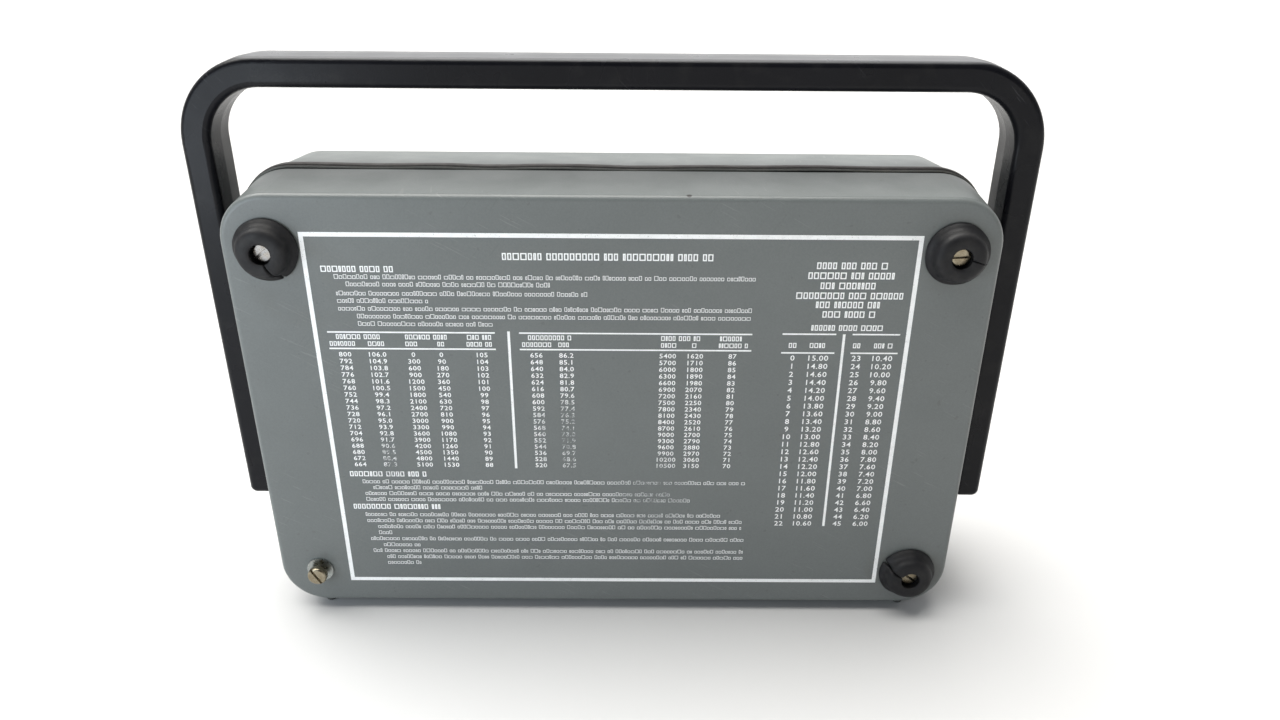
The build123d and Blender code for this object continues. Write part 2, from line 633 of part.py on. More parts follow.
with BuildPart() as stirrer_switch:
    with BuildSketch(front_plane(POCKET_D - TOGGLE_BODY)):
        with Locations(STIRRER):
            Rectangle(13, 28)
    extrude(amount=TOGGLE_BODY)
    chamfer(stirrer_switch.edges().filter_by(Axis.Y), 0.8)
    with BuildSketch(front_plane(POCKET_D - 1)):
        with Locations(STIRRER):
            Circle(TOGGLE_R)
    extrude(amount=PANEL_T + TOGGLE_H + 1)
    with BuildSketch(front_plane(POCKET_D - 8)):
        with Locations(STIRRER):
            Circle(TOGGLE_BORE_R)
    extrude(amount=30, mode=Mode.SUBTRACT)
    with BuildSketch(front_plane(POCKET_D - TOGGLE_BODY - TERMINAL_L + 1)):
        with Locations(STIRRER):
            with GridLocations(1, 9, 1, 3):
                Rectangle(TERMINAL_W, TERMINAL_T)
    extrude(amount=TERMINAL_L)
save(stirrer_switch, "stirrer_switch")

with BuildPart() as stirrer_lever:
    with BuildSketch(front_plane(TOGGLE_PIVOT)):
        with Locations(STIRRER):
            Circle(LEVER_R)
    with BuildSketch(front_plane(TOGGLE_PIVOT + LEVER_L)):
        with Locations(STIRRER):
            Circle(LEVER_TIP_R)
    loft()
    fillet(stirrer_lever.faces().sort_by(Axis.Y)[0].edges(), 1.8)
    with Locations((STIRRER[0], REAR_Y - TOGGLE_PIVOT, STIRRER[1])):
        Sphere(TOGGLE_BALL)
    with BuildSketch(front_plane(TOGGLE_PIVOT)):
        with Locations(STIRRER):
            Circle(LEVER_TAIL_R)
    extrude(amount=-6)
save(stirrer_lever, "stirrer_lever")

# ---------------------------------------------------------------- cable receptacles
for name, spot in SOCKETS.items():
    with BuildPart() as receptacle:
        with BuildSketch(front_plane(POCKET_D - SOCKET_BACK)):
            with Locations(spot):
                Circle(SOCKET_R)
        extrude(amount=SOCKET_BACK + PANEL_T + SOCKET_H)
        with BuildSketch(front_plane(PANEL_FACE)):
            with Locations(spot):
                Circle(SOCKET_R + 3)
                Circle(SOCKET_R, mode=Mode.SUBTRACT)
        extrude(amount=2.2)
        with BuildSketch(front_plane(PANEL_FACE + SOCKET_FLOOR)):
            with Locations(spot):
                Circle(PLUG_R)
        extrude(amount=SOCKET_H, mode=Mode.SUBTRACT)
        with BuildSketch(front_plane(PANEL_FACE + SOCKET_FLOOR)):
            with Locations(spot):
                Circle(INSULATOR_R)
        extrude(amount=-20, mode=Mode.SUBTRACT)
        for groove in (4.5, 6.5, 8.5):      # coupling grooves round the outside
            with BuildSketch(front_plane(PANEL_FACE + groove)):
                with Locations(spot):
                    Circle(SOCKET_R + 1)
                    Circle(SOCKET_R - 0.5, mode=Mode.SUBTRACT)
            extrude(amount=0.8, mode=Mode.SUBTRACT)
    save(receptacle, f"{name}_receptacle")

with BuildPart() as receptacle_inserts:
    with BuildSketch(front_plane(POCKET_D - SOCKET_BACK)):
        with Locations(*SOCKETS.values()):
            Circle(INSULATOR_R)
    extrude(amount=SOCKET_BACK + PANEL_T + SOCKET_FLOOR)
    with BuildSketch(front_plane(PANEL_FACE + SOCKET_FLOOR)):
        for spot in SOCKETS.values():
            with Locations(spot):
                with PolarLocations(PIN_CIRCLE_R, PINS):
                    Circle(PIN_R)
    extrude(amount=-9, mode=Mode.SUBTRACT)
save(receptacle_inserts, "receptacle_inserts")

with BuildPart() as receptacle_nuts:
    with BuildSketch(front_plane(POCKET_D)):
        with Locations(*SOCKETS.values()):
            RegularPolygon(SOCKET_R + 3, 6, major_radius=False)
            Circle(SOCKET_R, mode=Mode.SUBTRACT)
    extrude(amount=-3)
save(receptacle_nuts, "receptacle_nuts")

# ================================================================ chassis and batteries
with BuildPart() as chassis_plate:
    with BuildSketch(front_plane(CHASSIS_D)):
        with Locations((0, CASE_ZC)):
            RectangleRounded(CHASSIS_W, CHASSIS_H, 4)
        with Locations(*POST_SPOTS):
            Circle(1.8, mode=Mode.SUBTRACT)
        with Locations((0, CASE_ZC)):
            with GridLocations(90, 1, 3, 1):
                RectangleRounded(40, 8, 3, mode=Mode.SUBTRACT)
    extrude(amount=CHASSIS_T)
save(chassis_plate, "chassis_plate")

with BuildPart() as chassis_screws:
    with BuildSketch(rear_plane(CHASSIS_D)):
        with Locations(*POST_SPOTS):
            Circle(3.0)
    extrude(amount=2.0)
    fillet(chassis_screws.faces().group_by(Axis.Y)[-1].edges(), 0.9)
    with BuildSketch(rear_plane(CHASSIS_D)):
        with Locations(*POST_SPOTS):
            Circle(1.45)
    extrude(amount=-9)
save(chassis_screws, "chassis_screws")

for label, sign in (("upper", 1), ("lower", -1)):
    centre = CASE_ZC + sign * HOLDER_DZ
    with BuildPart() as battery_holder:
        with BuildSketch(rear_plane(CHASSIS_D)):
            with Locations((0, centre)):
                Rectangle(HOLDER_W, HOLDER_H)
        extrude(amount=HOLDER_DEPTH)
        with BuildSketch(rear_plane(CHASSIS_D - HOLDER_WALL)):
            with Locations((0, centre)):
                Rectangle(HOLDER_W - 2 * HOLDER_WALL, HOLDER_H - 2 * HOLDER_WALL)
        extrude(amount=HOLDER_DEPTH, mode=Mode.SUBTRACT)
        # finger gaps in the long walls
        with BuildSketch(rear_plane(CHASSIS_D - HOLDER_DEPTH + 12)):
            with Locations((0, centre)):
                with GridLocations(CELL_L, 1, CELLS, 1):
                    RectangleRounded(30, HOLDER_H + 2, 4)
        extrude(amount=14, mode=Mode.SUBTRACT)
    save(battery_holder, f"{label}_battery_holder")

    with BuildPart() as cells:
        for index in range(CELLS):
            start = (index - CELLS / 2) * CELL_L
            with BuildSketch(side_plane(start + 0.01)):
                with Locations((REAR_Y - CHASSIS_D + HOLDER_WALL + CELL_R + 0.2, centre)):
                    Circle(CELL_R)
            extrude(amount=CELL_BODY - 0.02)
            with BuildSketch(side_plane(start + CELL_BODY - 0.02)):
                with Locations((REAR_Y - CHASSIS_D + HOLDER_WALL + CELL_R + 0.2, centre)):
                    Circle(4.75)
            extrude(amount=CELL_L - CELL_BODY - 0.02)
        ends = cells.edges().filter_by(GeomType.CIRCLE).filter_by(
            lambda edge: abs(edge.radius - CELL_R) < 0.01)
        fillet(ends, 1.0)
    save(cells, f"{label}_cells")

    # spring leaf at the flat end and plain strap at the nub end, bent from strip
    with BuildPart() as contacts:
        cell_y = REAR_Y - CHASSIS_D + HOLDER_WALL + CELL_R + 0.2
        half = HOLDER_W / 2 - HOLDER_WALL
        reach = half - CELLS * CELL_L / 2 - 0.1
        with BuildSketch(Plane.XY.offset(centre - 5)):
            with BuildLine():
                leaf = Polyline((-half + 0.4, cell_y - 12), (-half + 0.4, cell_y + 13),
                                (-half + reach - 0.4, cell_y), (-half + 2.4, cell_y - 8))
                offset(leaf, amount=0.3, side=Side.BOTH)
            make_face()
        extrude(amount=10)
        with BuildSketch(Plane.XY.offset(centre - 5)):
            with BuildLine():
                strap = Polyline((half - 0.4, cell_y - 12), (half - 0.4, cell_y + 13),
                                 (half - reach + 0.4, cell_y + 6),
                                 (half - reach + 0.4, cell_y - 6))
                offset(strap, amount=0.3, side=Side.BOTH)
            make_face()
        extrude(amount=10)
    save(contacts, f"{label}_contacts")

# ================================================================ main board
BOARD_HOLES = [(x, CASE_ZC + z) for x in (-132.0, 0.0, 132.0) for z in (-25.0, 25.0)]
SELECTOR = (-40.0, CASE_ZC - 8.0)      # seen from behind
SELECTOR_TRAVEL = 2.5
SELECTOR_H = 6.0

with BuildPart() as main_board:
    with BuildSketch(rear_plane(BOARD_D)):
        with Locations((0, CASE_ZC)):
            Rectangle(BOARD_W, BOARD_H)
        with Locations(*BOARD_HOLES):
            Circle(M3_HOLE_R, mode=Mode.SUBTRACT)
    extrude(amount=BOARD_T)
save(main_board, "main_board")

with BuildPart() as board_standoffs:
    with BuildSketch(rear_plane(CHASSIS_D)):
        with Locations(*BOARD_HOLES):
            RegularPolygon(2.75, 6, major_radius=False)
            Circle(1.5, mode=Mode.SUBTRACT)
    extrude(amount=BOARD_STANDOFF)
save(board_standoffs, "board_standoffs")

with BuildPart() as board_screws:
    with BuildSketch(rear_plane(BOARD_BACK)):
        with Locations(*BOARD_HOLES):
            Circle(2.7)
    extrude(amount=1.8)
    with BuildSketch(rear_plane(BOARD_BACK)):
        with Locations(*BOARD_HOLES):
            Circle(1.4)
    extrude(amount=-6)
save(board_screws, "board_screws")

CHIPS = [(-100, 8, 20), (-66, 8, 20), (-32, 14, 25), (18, 8, 40), (72, 8, 20), (104, 8, 20),
         (64, -16, 18), (92, -16, 18)]
with BuildPart() as board_chips:
    for x, z, length in CHIPS:
        with BuildSketch(rear_plane(BOARD_BACK - 0.8)):
            with Locations((x, CASE_ZC + z)):
                Rectangle(length, 6.6)
        extrude(amount=3.4)
        with BuildSketch(rear_plane(BOARD_BACK)):
            with Locations((x, CASE_ZC + z)):
                with GridLocations(2.54, 7.6, int(length / 2.54) - 1, 2):
                    Rectangle(0.6, 1.2)
        extrude(amount=2.0)
save(board_chips, "board_chips")

CAPACITORS = [(-118, -12, 5.0, 12.0), (-102, -14, 4.0, 10.0), (-84, -14, 4.0, 9.0),
              (20, -14, 6.3, 14.0), (38, -14, 4.0, 9.0), (118, -14, 6.3, 14.0)]
with BuildPart() as board_capacitors:
    for x, z, radius, height in CAPACITORS:
        with BuildSketch(rear_plane(BOARD_BACK)):
            with Locations((x, CASE_ZC + z)):
                Circle(radius)
        extrude(amount=height)
    fillet(board_capacitors.faces().filter_by(Axis.Y).filter_by(
        lambda face: face.center().Y > REAR_Y - BOARD_BACK + 1).edges(), 0.6)
save(board_capacitors, "board_capacitors")

with BuildPart() as membrane_selector:
    with BuildSketch(rear_plane(BOARD_BACK)):
        with Locations(SELECTOR):
            Rectangle(16, 7)
    extrude(amount=SELECTOR_H)
    with BuildSketch(rear_plane(BOARD_BACK - 1.5)):
        with Locations(SELECTOR):
            Rectangle(12, 3.6)
    extrude(amount=SELECTOR_H, mode=Mode.SUBTRACT)
save(membrane_selector, "membrane_selector")

with BuildPart() as membrane_selector_slider:
    with BuildSketch(rear_plane(BOARD_BACK - 1.8)):
        with Locations(SELECTOR):
            Rectangle(6, 3.0)
    extrude(amount=3.2)
    with BuildSketch(rear_plane(BOARD_BACK - 3)):
        with Locations(SELECTOR):
            Rectangle(3, 3.0)
    extrude(amount=SELECTOR_H)
save(membrane_selector_slider, "membrane_selector_slider")
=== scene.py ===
"""Looks of a portable dissolved-oxygen meter, standing on its bottom feet with its rear face to the camera.

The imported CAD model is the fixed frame.  Sizes below are in millimetres unless a name says otherwise, and
MM turns them into metres.  On the rear face, u runs to the right and v upwards as seen from behind, from
the face's middle; on the control panel they do the same as seen from in front.
"""
import math
import random

import bpy
from mathutils import Matrix, Vector


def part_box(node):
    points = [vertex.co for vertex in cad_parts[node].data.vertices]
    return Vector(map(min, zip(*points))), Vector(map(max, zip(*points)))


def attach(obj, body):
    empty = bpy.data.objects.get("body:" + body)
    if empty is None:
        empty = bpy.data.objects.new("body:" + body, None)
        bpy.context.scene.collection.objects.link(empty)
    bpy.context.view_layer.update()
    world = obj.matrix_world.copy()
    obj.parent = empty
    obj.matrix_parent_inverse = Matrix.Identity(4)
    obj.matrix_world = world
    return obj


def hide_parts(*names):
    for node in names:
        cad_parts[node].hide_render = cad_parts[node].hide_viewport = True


MM = 0.001

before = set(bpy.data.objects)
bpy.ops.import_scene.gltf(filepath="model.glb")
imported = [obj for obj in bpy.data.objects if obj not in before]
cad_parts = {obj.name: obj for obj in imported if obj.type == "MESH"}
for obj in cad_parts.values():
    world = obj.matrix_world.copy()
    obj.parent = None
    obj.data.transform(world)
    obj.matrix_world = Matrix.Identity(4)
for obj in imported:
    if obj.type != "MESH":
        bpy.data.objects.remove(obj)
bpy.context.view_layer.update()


# ================================================================ camera, floor and light
CAMERA_FROM_CASE = Vector((-10.5, 392.8, 216.6)) * MM      # from the middle of the rear face
CAMERA_PITCH = math.radians(25.19)      # downwards
CAMERA_YAW = math.radians(0.31)
CAMERA_ROLL = math.radians(0.47)
CAMERA_LENS_MM = 26.16
SKY_BEHIND, SKY_BEFORE = 1.0, 0.16      # sky strength beyond the object, and on the camera's side
SKY_FADE = (-0.7, 0.3)                  # from the one to the other, along Y
SUN_STRENGTH, SUN_SPREAD = 5.6, math.radians(60)
SUN_COLOR = (1.0, 0.985, 0.95)
SUN_TRAVEL = Vector((-0.28, 0.17, -1.0))
LAMP_PLACE, LAMP_AIM = (0.46, 0.44, 0.22), (0.14, 0.05, 0.12)
LAMP_SIZE, LAMP_WATTS, LAMP_COLOR = 0.4, 1.6, (0.80, 0.90, 1.0)
FLOOR_REACH = 30.0
FLOOR_GREY = (0.57, 0.57, 0.57)


def place_camera():
    camera = bpy.data.objects.new("camera", bpy.data.cameras.new("camera"))
    bpy.context.collection.objects.link(camera)
    camera.data.lens = CAMERA_LENS_MM
    camera.data.clip_start = 0.01
    forward = Vector((-math.sin(CAMERA_YAW) * math.cos(CAMERA_PITCH),
                      -math.cos(CAMERA_YAW) * math.cos(CAMERA_PITCH), -math.sin(CAMERA_PITCH)))
    level = Vector((-math.cos(CAMERA_YAW), math.sin(CAMERA_YAW), 0))
    right = Matrix.Rotation(-CAMERA_ROLL, 3, forward) @ level
    up = right.cross(forward)
    place = on_rear(0, 0) + CAMERA_FROM_CASE
    camera.matrix_world = Matrix.Translation(place) @ Matrix((right, up, -forward)).transposed().to_4x4()
    bpy.context.scene.camera = camera


def area_light(name, place, aim, size, watts, color):
    lamp = bpy.data.lights.new(name, "AREA")
    lamp.shape = "DISK"
    lamp.size, lamp.energy, lamp.color = size, watts, color
    light = bpy.data.objects.new(name, lamp)
    bpy.context.collection.objects.link(light)
    light.location = place
    light.rotation_euler = (Vector(aim) - Vector(place)).to_track_quat("-Z", "Y").to_euler()


def build_stage():
    """A pale floor out to the horizon, a white sky that fades towards the camera, a soft sun and a lamp."""
    floor_mesh = bpy.data.meshes.new("floor")
    reach = FLOOR_REACH
    floor_mesh.from_pydata([(-reach, -reach, 0), (reach, -reach, 0), (reach, reach, 0), (-reach, reach, 0)],
                           [], [(0, 1, 2, 3)])
    floor = bpy.data.objects.new("floor", floor_mesh)
    bpy.context.collection.objects.link(floor)
    paper = Finish("floor_paper", FLOOR_GREY, 0.9)
    paper.mottle(0.7, 0.01)
    floor.data.materials.append(paper.done())

    world = bpy.data.worlds.new("sky")
    world.use_nodes = True
    tree = world.node_tree
    direction = tree.nodes.new("ShaderNodeTexCoord").outputs["Generated"]
    split = tree.nodes.new("ShaderNodeSeparateXYZ")
    fade = tree.nodes.new("ShaderNodeMapRange")
    fade.inputs["From Min"].default_value, fade.inputs["From Max"].default_value = SKY_FADE
    fade.inputs["To Min"].default_value, fade.inputs["To Max"].default_value = SKY_BEHIND, SKY_BEFORE
    tree.links.new(direction, split.inputs[0])
    tree.links.new(split.outputs["Y"], fade.inputs["Value"])
    tree.links.new(fade.outputs[0], tree.nodes["Background"].inputs["Strength"])
    tree.nodes["Background"].inputs["Color"].default_value = (1.0, 1.0, 1.0, 1.0)
    bpy.context.scene.world = world
    bpy.context.scene.view_settings.view_transform = "Standard"

    sun = bpy.data.lights.new("overhead", "SUN")
    sun.energy, sun.angle, sun.color = SUN_STRENGTH, SUN_SPREAD, SUN_COLOR
    overhead = bpy.data.objects.new("overhead", sun)
    bpy.context.collection.objects.link(overhead)
    overhead.rotation_euler = SUN_TRAVEL.to_track_quat("-Z", "Y").to_euler()
    area_light("window_lamp", LAMP_PLACE, LAMP_AIM, LAMP_SIZE, LAMP_WATTS, LAMP_COLOR)


# ================================================================ materials
class Finish:
    """A node material built up in layers over object coordinates, which are metres in the CAD frame."""

    def __init__(self, name, color, roughness, metallic=0.0, specular=0.5):
        self.material = bpy.data.materials.new(name)
        self.material.use_nodes = True
        self.tree = self.material.node_tree
        self.shader = self.tree.nodes["Principled BSDF"]
        self.shader.inputs["Roughness"].default_value = roughness
        self.shader.inputs["Metallic"].default_value = metallic
        self.shader.inputs["Specular IOR Level"].default_value = specular
        self.roughness = roughness
        self.place = self.node("ShaderNodeTexCoord").outputs["Object"]
        base = self.node("ShaderNodeRGB")
        base.outputs[0].default_value = (*color, 1.0)
        self.color = base.outputs[0]
        self.normal = None

    def node(self, kind, **inputs):
        made = self.tree.nodes.new(kind)
        for key, value in inputs.items():
            self.feed(made.inputs[key.replace("_", " ")], value)
        return made

    def feed(self, socket, value):
        if isinstance(value, bpy.types.NodeSocket):
            self.tree.links.new(value, socket)
        else:
            socket.default_value = value

    def noise(self, scale, detail=3.0, stretch=(1, 1, 1), turn=(0, 0, 0)):
        """Noise over the object's place, turned first and then stretched."""
        turned = self.node("ShaderNodeMapping", Vector=self.place, Rotation=turn).outputs[0]
        where = self.node("ShaderNodeMapping", Vector=turned, Scale=stretch).outputs[0]
        return self.node("ShaderNodeTexNoise", Vector=where, Scale=scale, Detail=detail).outputs[0]

    def band(self, value, low, high, out_low=0.0, out_high=1.0):
        """The value carried from low..high onto out_low..out_high, clamped."""
        ranged = self.node("ShaderNodeMapRange")
        for key, number in (("From Min", low), ("From Max", high), ("To Min", out_low), ("To Max", out_high)):
            ranged.inputs[key].default_value = number
        self.feed(ranged.inputs["Value"], value)
        return ranged.outputs[0]

    def maths(self, how, a, b):
        made = self.node("ShaderNodeMath")
        made.operation = how
        self.feed(made.inputs[0], a)
        self.feed(made.inputs[1], b)
        return made.outputs[0]

    def near(self, point, inner, outer):
        """1 within inner metres of a point, falling to 0 at outer metres."""
        far = self.node("ShaderNodeVectorMath")
        far.operation = "DISTANCE"
        self.feed(far.inputs[0], self.place)
        far.inputs[1].default_value = point
        return self.band(far.outputs["Value"], inner, outer, 1.0, 0.0)

    def mix(self, factor, color):
        """The colour so far, taken over by another where the factor is 1."""
        made = self.node("ShaderNodeMix")
        made.data_type = "RGBA"
        self.feed(made.inputs["Factor"], factor)
        self.feed(made.inputs[6], self.color)
        made.inputs[7].default_value = (*color, 1.0)
        self.color = made.outputs[2]
        return self

    def mottle(self, scale, amount, detail=3.0, stretch=(1, 1, 1)):
        """Cloudy lightness, amount up and down."""
        cloud = self.band(self.noise(scale, detail, stretch), 0.3, 0.7, 1 - amount, 1 + amount)
        made = self.node("ShaderNodeVectorMath")
        made.operation = "SCALE"
        self.feed(made.inputs[0], self.color)
        self.feed(made.inputs["Scale"], cloud)
        self.color = made.outputs[0]
        return self

    def sheen_patches(self, scale, spread):
        """Roughness that wanders spread up and down from the base."""
        wander = self.band(self.noise(scale), 0.3, 0.7, self.roughness - spread, self.roughness + spread)
        self.feed(self.shader.inputs["Roughness"], wander)
        return self

    def grain(self, scale, depth, stretch=(1, 1, 1)):
        """Fine relief, depth in metres."""
        height = self.noise(scale, 2.0, stretch)
        bump = self.node("ShaderNodeBump", Height=height, Distance=depth, Strength=1.0)
        if self.normal is not None:
            self.feed(bump.inputs["Normal"], self.normal)
        self.normal = bump.outputs[0]
        return self

    def scratches(self, color, amount, lean):
        """Sparse hairlines that lean by an angle on the faces that look along Y."""
        streak = self.noise(55, 2.0, (1, 1, 22), (0, lean, 0))
        patch = self.band(self.noise(14, 1.0), 0.5, 0.62)
        lines = self.band(streak, 0.665, 0.70, 0.0, amount)
        return self.mix(self.maths("MULTIPLY", lines, patch), color)

    def done(self):
        self.feed(self.shader.inputs["Base Color"], self.color)
        if self.normal is not None:
            self.feed(self.shader.inputs["Normal"], self.normal)
        return self.material


def on_rear(u, v, proud=0.0):
    """The point of the rear face at u, v, or so far proud of it."""
    return Vector((-u * MM, REAR_FACE + proud * MM, CASE_MID_Z + v * MM))


def on_panel(u, v, proud=0.0):
    """The point of the control panel at u, v, or so far proud of it."""
    return Vector((u * MM, PANEL_FACE - proud * MM, CASE_MID_Z + v * MM))


shell_low, shell_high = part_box("rear_shell")
REAR_FACE = shell_high[1]
CASE_MID_Z = (shell_low[2] + shell_high[2]) / 2
PANEL_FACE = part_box("front_panel")[0][1]
HANDLE_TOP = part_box("handle")[1][2]
SCREW_U, SCREW_V_TOP, SCREW_V_BOTTOM = 152.8, 84.8, -89.4
GRIME_AND_SHADOW = (0.075, 0.062, 0.045)
# brown blotches by the feet and the bare screw: grime, but the first, set off to the lower right of the
# top-left foot, is that foot's painted shadow
GRIME_AND_SHADOW_SPOTS = ((-SCREW_U + 12, SCREW_V_TOP - 13, 26), (-SCREW_U, SCREW_V_BOTTOM, 22),
               (SCREW_U, SCREW_V_BOTTOM, 24), (SCREW_U, SCREW_V_TOP, 22))     # u, v and reach
CHIP = (33.4, 109.6, -2.0)              # a chip in the paint of the top edge: u, v, height off the face
CLEAN_SCREW = (-SCREW_U, SCREW_V_TOP)
# rubbed places of the rear print: u, v, and the radii within which it is most and at all rubbed
RUBBED = ((-21.7, -4.0, 8, 20), (-21.7, -18.0, 6, 17), (-110.0, -22.0, 4, 14), (20.0, -40.0, 6, 26))


def case_grey():
    """Grey paint with cloudy wear, hairlines, grime by the screws, a painted shadow to the lower right of the
    top-left foot, and a chip.
    """
    paint = Finish("case_grey_paint", (0.137, 0.151, 0.149), 0.40)
    paint.mottle(9, 0.045).mottle(60, 0.02).mottle(1400, 0.05, 2.0)
    paint.scratches((0.27, 0.28, 0.27), 0.26, 0.5).scratches((0.09, 0.095, 0.09), 0.2, -0.9)
    grime_and_shadow_blotches = paint.band(paint.noise(28, 4.0), 0.42, 0.68, 0.0, 0.55)
    # grime halos, the first of them a painted shadow of the top-left foot
    for u, v, reach in GRIME_AND_SHADOW_SPOTS:
        grime_and_shadow_halo = paint.near(on_rear(u, v), 8 * MM, reach * MM)
        paint.mix(paint.maths("MULTIPLY", grime_and_shadow_blotches, grime_and_shadow_halo), GRIME_AND_SHADOW)
    specks = paint.band(paint.noise(300, 1.0), 0.75, 0.77, 0.0, 0.35)
    paint.mix(specks, (0.09, 0.09, 0.085))
    chip = paint.near(on_rear(*CHIP), 0.9 * MM, 1.4 * MM)
    paint.mix(chip, (0.012, 0.011, 0.010))
    paint.sheen_patches(45, 0.07).grain(1900, 0.03 * MM)
    return paint.done()


def handle_black():
    """Black plastic with fine dust, and a paler band along the bar's top that is a painted grazing
    reflection.
    """
    plastic = Finish("handle_black_plastic", (0.0045, 0.0047, 0.0068), 0.30, specular=0.17)
    plastic.mottle(24, 0.12).mottle(1600, 0.06, 2.0)
    plastic.scratches((0.12, 0.12, 0.13), 0.22, 0.8)
    dust = plastic.band(plastic.noise(90, 5.0), 0.52, 0.75, 0.0, 0.05)
    plastic.mix(dust, (0.12, 0.115, 0.10))
    # a paler band along the top of the bar, painted in to stand for the grazing reflection there
    height = plastic.node("ShaderNodeSeparateXYZ", Vector=plastic.place).outputs["Z"]
    painted_top_glare = plastic.band(height, HANDLE_TOP - 1.6 * MM, HANDLE_TOP - 0.3 * MM, 0.0, 0.9)
    plastic.mix(painted_top_glare, (0.15, 0.152, 0.16))
    return plastic.sheen_patches(38, 0.06).grain(1500, 0.035 * MM).done()


def rubber(name, color, dust_amount, roughness=0.72):
    """Dull rubber with dust in its grain."""
    black = Finish(name, color, roughness, specular=0.3)
    black.mottle(70, 0.14).mottle(900, 0.08)
    dust = black.band(black.noise(210, 5.0), 0.45, 0.75, 0.0, dust_amount)
    black.mix(dust, (0.15, 0.138, 0.115))
    return black.sheen_patches(120, 0.1).grain(700, 0.08 * MM).grain(2600, 0.03 * MM).done()


def plated(name, color, roughness, tarnish, clean_at=None):
    """Bare or plated metal with brown tarnish, and a paler grey round one point where that is given."""
    metal = Finish(name, color, roughness, 1.0)
    if clean_at is not None:
        metal.mix(metal.near(clean_at, 15 * MM, 16 * MM), (0.30, 0.29, 0.28))
    metal.mottle(160, 0.08).mottle(2200, 0.05, 2.0, (1, 1, 6))
    stain = metal.band(metal.noise(330, 4.0), 0.44, 0.72, 0.0, tarnish)
    metal.mix(stain, (0.17, 0.12, 0.06))
    return metal.sheen_patches(500, 0.09).grain(1900, 0.015 * MM, stretch=(1, 1, 5)).done()


def moulding(name, color, roughness=0.5, relief=0.03, speckle=0.06):
    """A moulded or painted part, with relief in millimetres."""
    plastic = Finish(name, color, roughness)
    plastic.mottle(30, 0.05).mottle(1200, speckle, 2.0)
    return plastic.sheen_patches(60, 0.05).grain(1300, relief * MM).done()


def clear_window():
    pane = Finish("window_clear_acrylic", (0.93, 0.96, 0.95), 0.06)
    pane.mottle(20, 0.015)
    pane.shader.inputs["Transmission Weight"].default_value = 1.0
    pane.shader.inputs["IOR"].default_value = 1.49
    return pane.sheen_patches(60, 0.03).done()


def white_ink(name, worn):
    """Screen-printed ink with flecks, rubbed away near the worn places."""
    ink = Finish(name, (0.92, 0.93, 0.93), 0.5)
    ink.mottle(300, 0.05)
    rubbed = ink.band(ink.noise(900, 3.0), 0.36, 0.62, 0.12, 1.0)
    for u, v, inner, outer in worn:
        patch = ink.near(on_rear(u, v), inner * MM, outer * MM)
        ink.mix(ink.maths("MULTIPLY", rubbed, patch), (0.20, 0.21, 0.21))
    flecks = ink.band(ink.noise(1500, 2.0), 0.66, 0.72, 0.0, 0.5)
    ink.mix(flecks, (0.25, 0.26, 0.26))
    return ink.sheen_patches(200, 0.08).grain(2500, 0.01 * MM).done()


def dress_nodes():
    """Every CAD node takes a node material in place of its plain slot colour."""
    steel = plated("plated_steel", (0.62, 0.59, 0.52), 0.30, 0.25)
    old_nickel = plated("tarnished_nickel", (0.30, 0.265, 0.195), 0.30, 0.5, on_rear(*CLEAN_SCREW))
    black_part = moulding("part_black_resin", (0.022, 0.022, 0.023), 0.45)
    nylon = moulding("nylon_natural", (0.62, 0.60, 0.54), 0.42)
    knob = moulding("knob_black_phenolic", (0.020, 0.020, 0.021), 0.33, 0.02)
    board = moulding("board_green_laminate", (0.03, 0.13, 0.06), 0.35, 0.02, 0.12)
    alloy = plated("chassis_alloy", (0.70, 0.71, 0.72), 0.38, 0.05)
    looks = {
        "rear_shell front_shell": case_grey(),
        "handle": handle_black(),
        "bottom_feet": rubber("bottom_feet_rubber", (0.085, 0.09, 0.085), 0.3),
        "rear_screws": old_nickel,
        "rear_washers": plated("washer_steel", (0.34, 0.36, 0.35), 0.30, 0.15),
        "pivot_bolts pivot_nuts spring_washers panel_screws control_nuts function_shaft zero_shaft "
        "calib_shaft salinity_shaft stirrer_lever chassis_screws board_screws board_standoffs "
        "upper_contacts lower_contacts receptacle_nuts probe_receptacle stirrer_receptacle": steel,
        "shell_inserts": plated("insert_brass", (0.72, 0.52, 0.22), 0.32, 0.2),
        "pivot_hubs": moulding("hub_black_resin", (0.024, 0.025, 0.028), 0.5),
        "pivot_bushes friction_washers display_spacers": nylon,
        "front_panel": moulding("panel_grey_enamel", (0.17, 0.185, 0.19), 0.42, 0.02),
        "display_bezel": moulding("bezel_black_resin", (0.02, 0.02, 0.022), 0.38, 0.04),
        "display_window": clear_window(),
        "display_glass": moulding("display_grey_glass", (0.37, 0.41, 0.36), 0.2, 0.005, 0.02),
        "display_board main_board": board,
        "board_chips membrane_selector function_switch zero_pot calib_pot salinity_pot stirrer_switch "
        "receptacle_inserts upper_battery_holder lower_battery_holder": black_part,
        "board_capacitors": moulding("capacitor_blue_sleeve", (0.03, 0.07, 0.22), 0.3),
        "membrane_selector_slider": moulding("selector_white_resin", (0.78, 0.77, 0.74), 0.4),
        "function_knob zero_knob calib_knob salinity_knob": knob,
        "chassis_plate": alloy,
        "upper_cells lower_cells": moulding("cell_jacket_film", (0.10, 0.11, 0.13), 0.28, 0.01),
        "rear_feet seam_gasket": rubber("hidden_rubber", (0.03, 0.03, 0.03), 0.2),
    }
    for names, material in looks.items():
        for name in names.split():
            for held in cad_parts[name].material_slots:
                held.material = material


# ================================================================ mesh helpers
def new_piece(name, corners, faces, material, body, smooth=False):
    """A mesh that rides on a body of the frame."""
    mesh = bpy.data.meshes.new(name)
    mesh.from_pydata([tuple(corner) for corner in corners], [], faces)
    mesh.materials.append(material)
    if smooth:
        mesh.shade_smooth()
    piece = bpy.data.objects.new(name, mesh)
    bpy.context.collection.objects.link(piece)
    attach(piece, body)
    return piece


